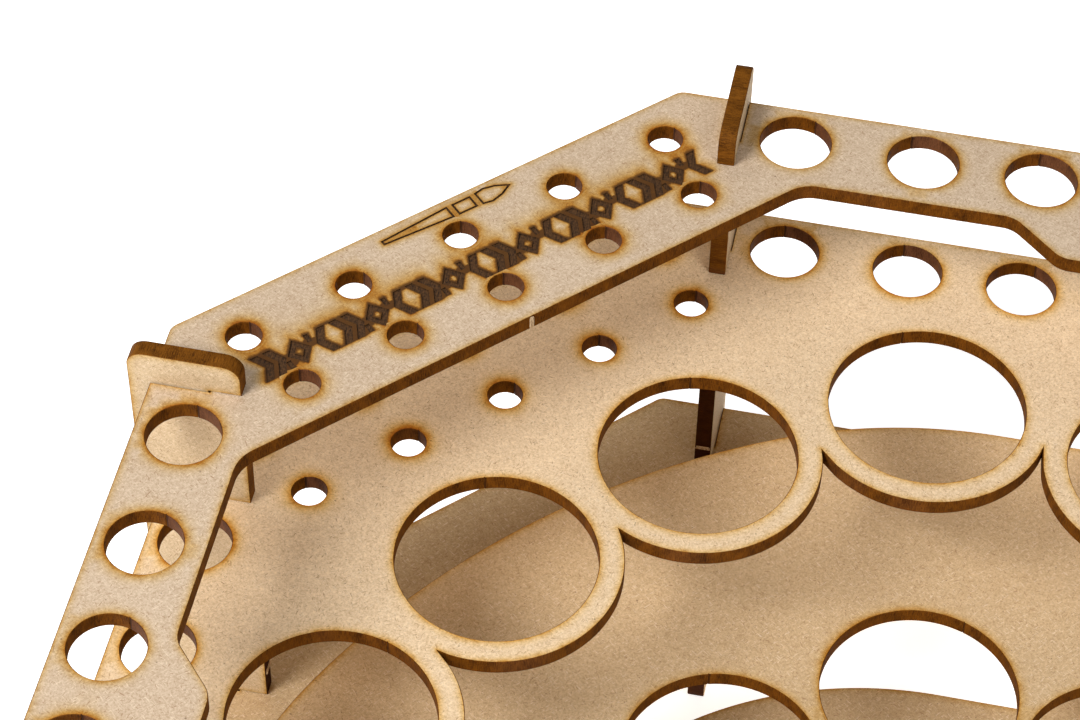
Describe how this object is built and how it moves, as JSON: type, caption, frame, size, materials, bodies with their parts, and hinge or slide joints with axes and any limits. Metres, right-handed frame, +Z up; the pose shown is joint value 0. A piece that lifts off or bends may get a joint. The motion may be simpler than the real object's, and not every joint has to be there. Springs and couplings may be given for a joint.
{
  "type": "paint rack",
  "caption": "Half-octagon tabletop rack of slotted wood-fibre sheet, with stepped tiers of round holes for paint pots, brushes and hand tools, open at the front",
  "frame": {"origin": "on the table, at the centre of the rectangle that the rack covers", "axes": "+X to the right seen from the front, +Y to the back, +Z up; the rack is open at the front (-Y) and symmetric about the plane x = 0"},
  "size_m": [0.362, 0.2038, 0.1063],
  "materials": {
    "sheet_top": "bare MDF, laser cut with scorched edges",
    "sheet_tiers": "bare MDF, laser cut with scorched edges",
    "sheet_uprights": "bare MDF, laser cut with scorched edges"
  },
  "bodies": {
    "root": {"top_ring": "sheet_top", "upper_pot_tier": "sheet_tiers", "lower_pot_tier": "sheet_tiers", "base_plate": "sheet_tiers", "corner_upright_back_left": "sheet_uprights", "corner_upright_back_right": "sheet_uprights", "corner_upright_left": "sheet_uprights", "corner_upright_right": "sheet_uprights", "middle_upright_back": "sheet_uprights", "middle_upright_left": "sheet_uprights", "middle_upright_right": "sheet_uprights", "inner_leg_back_left": "sheet_uprights", "inner_leg_back_right": "sheet_uprights", "inner_leg_left": "sheet_uprights", "inner_leg_right": "sheet_uprights"}
  },
  "joints": []
}
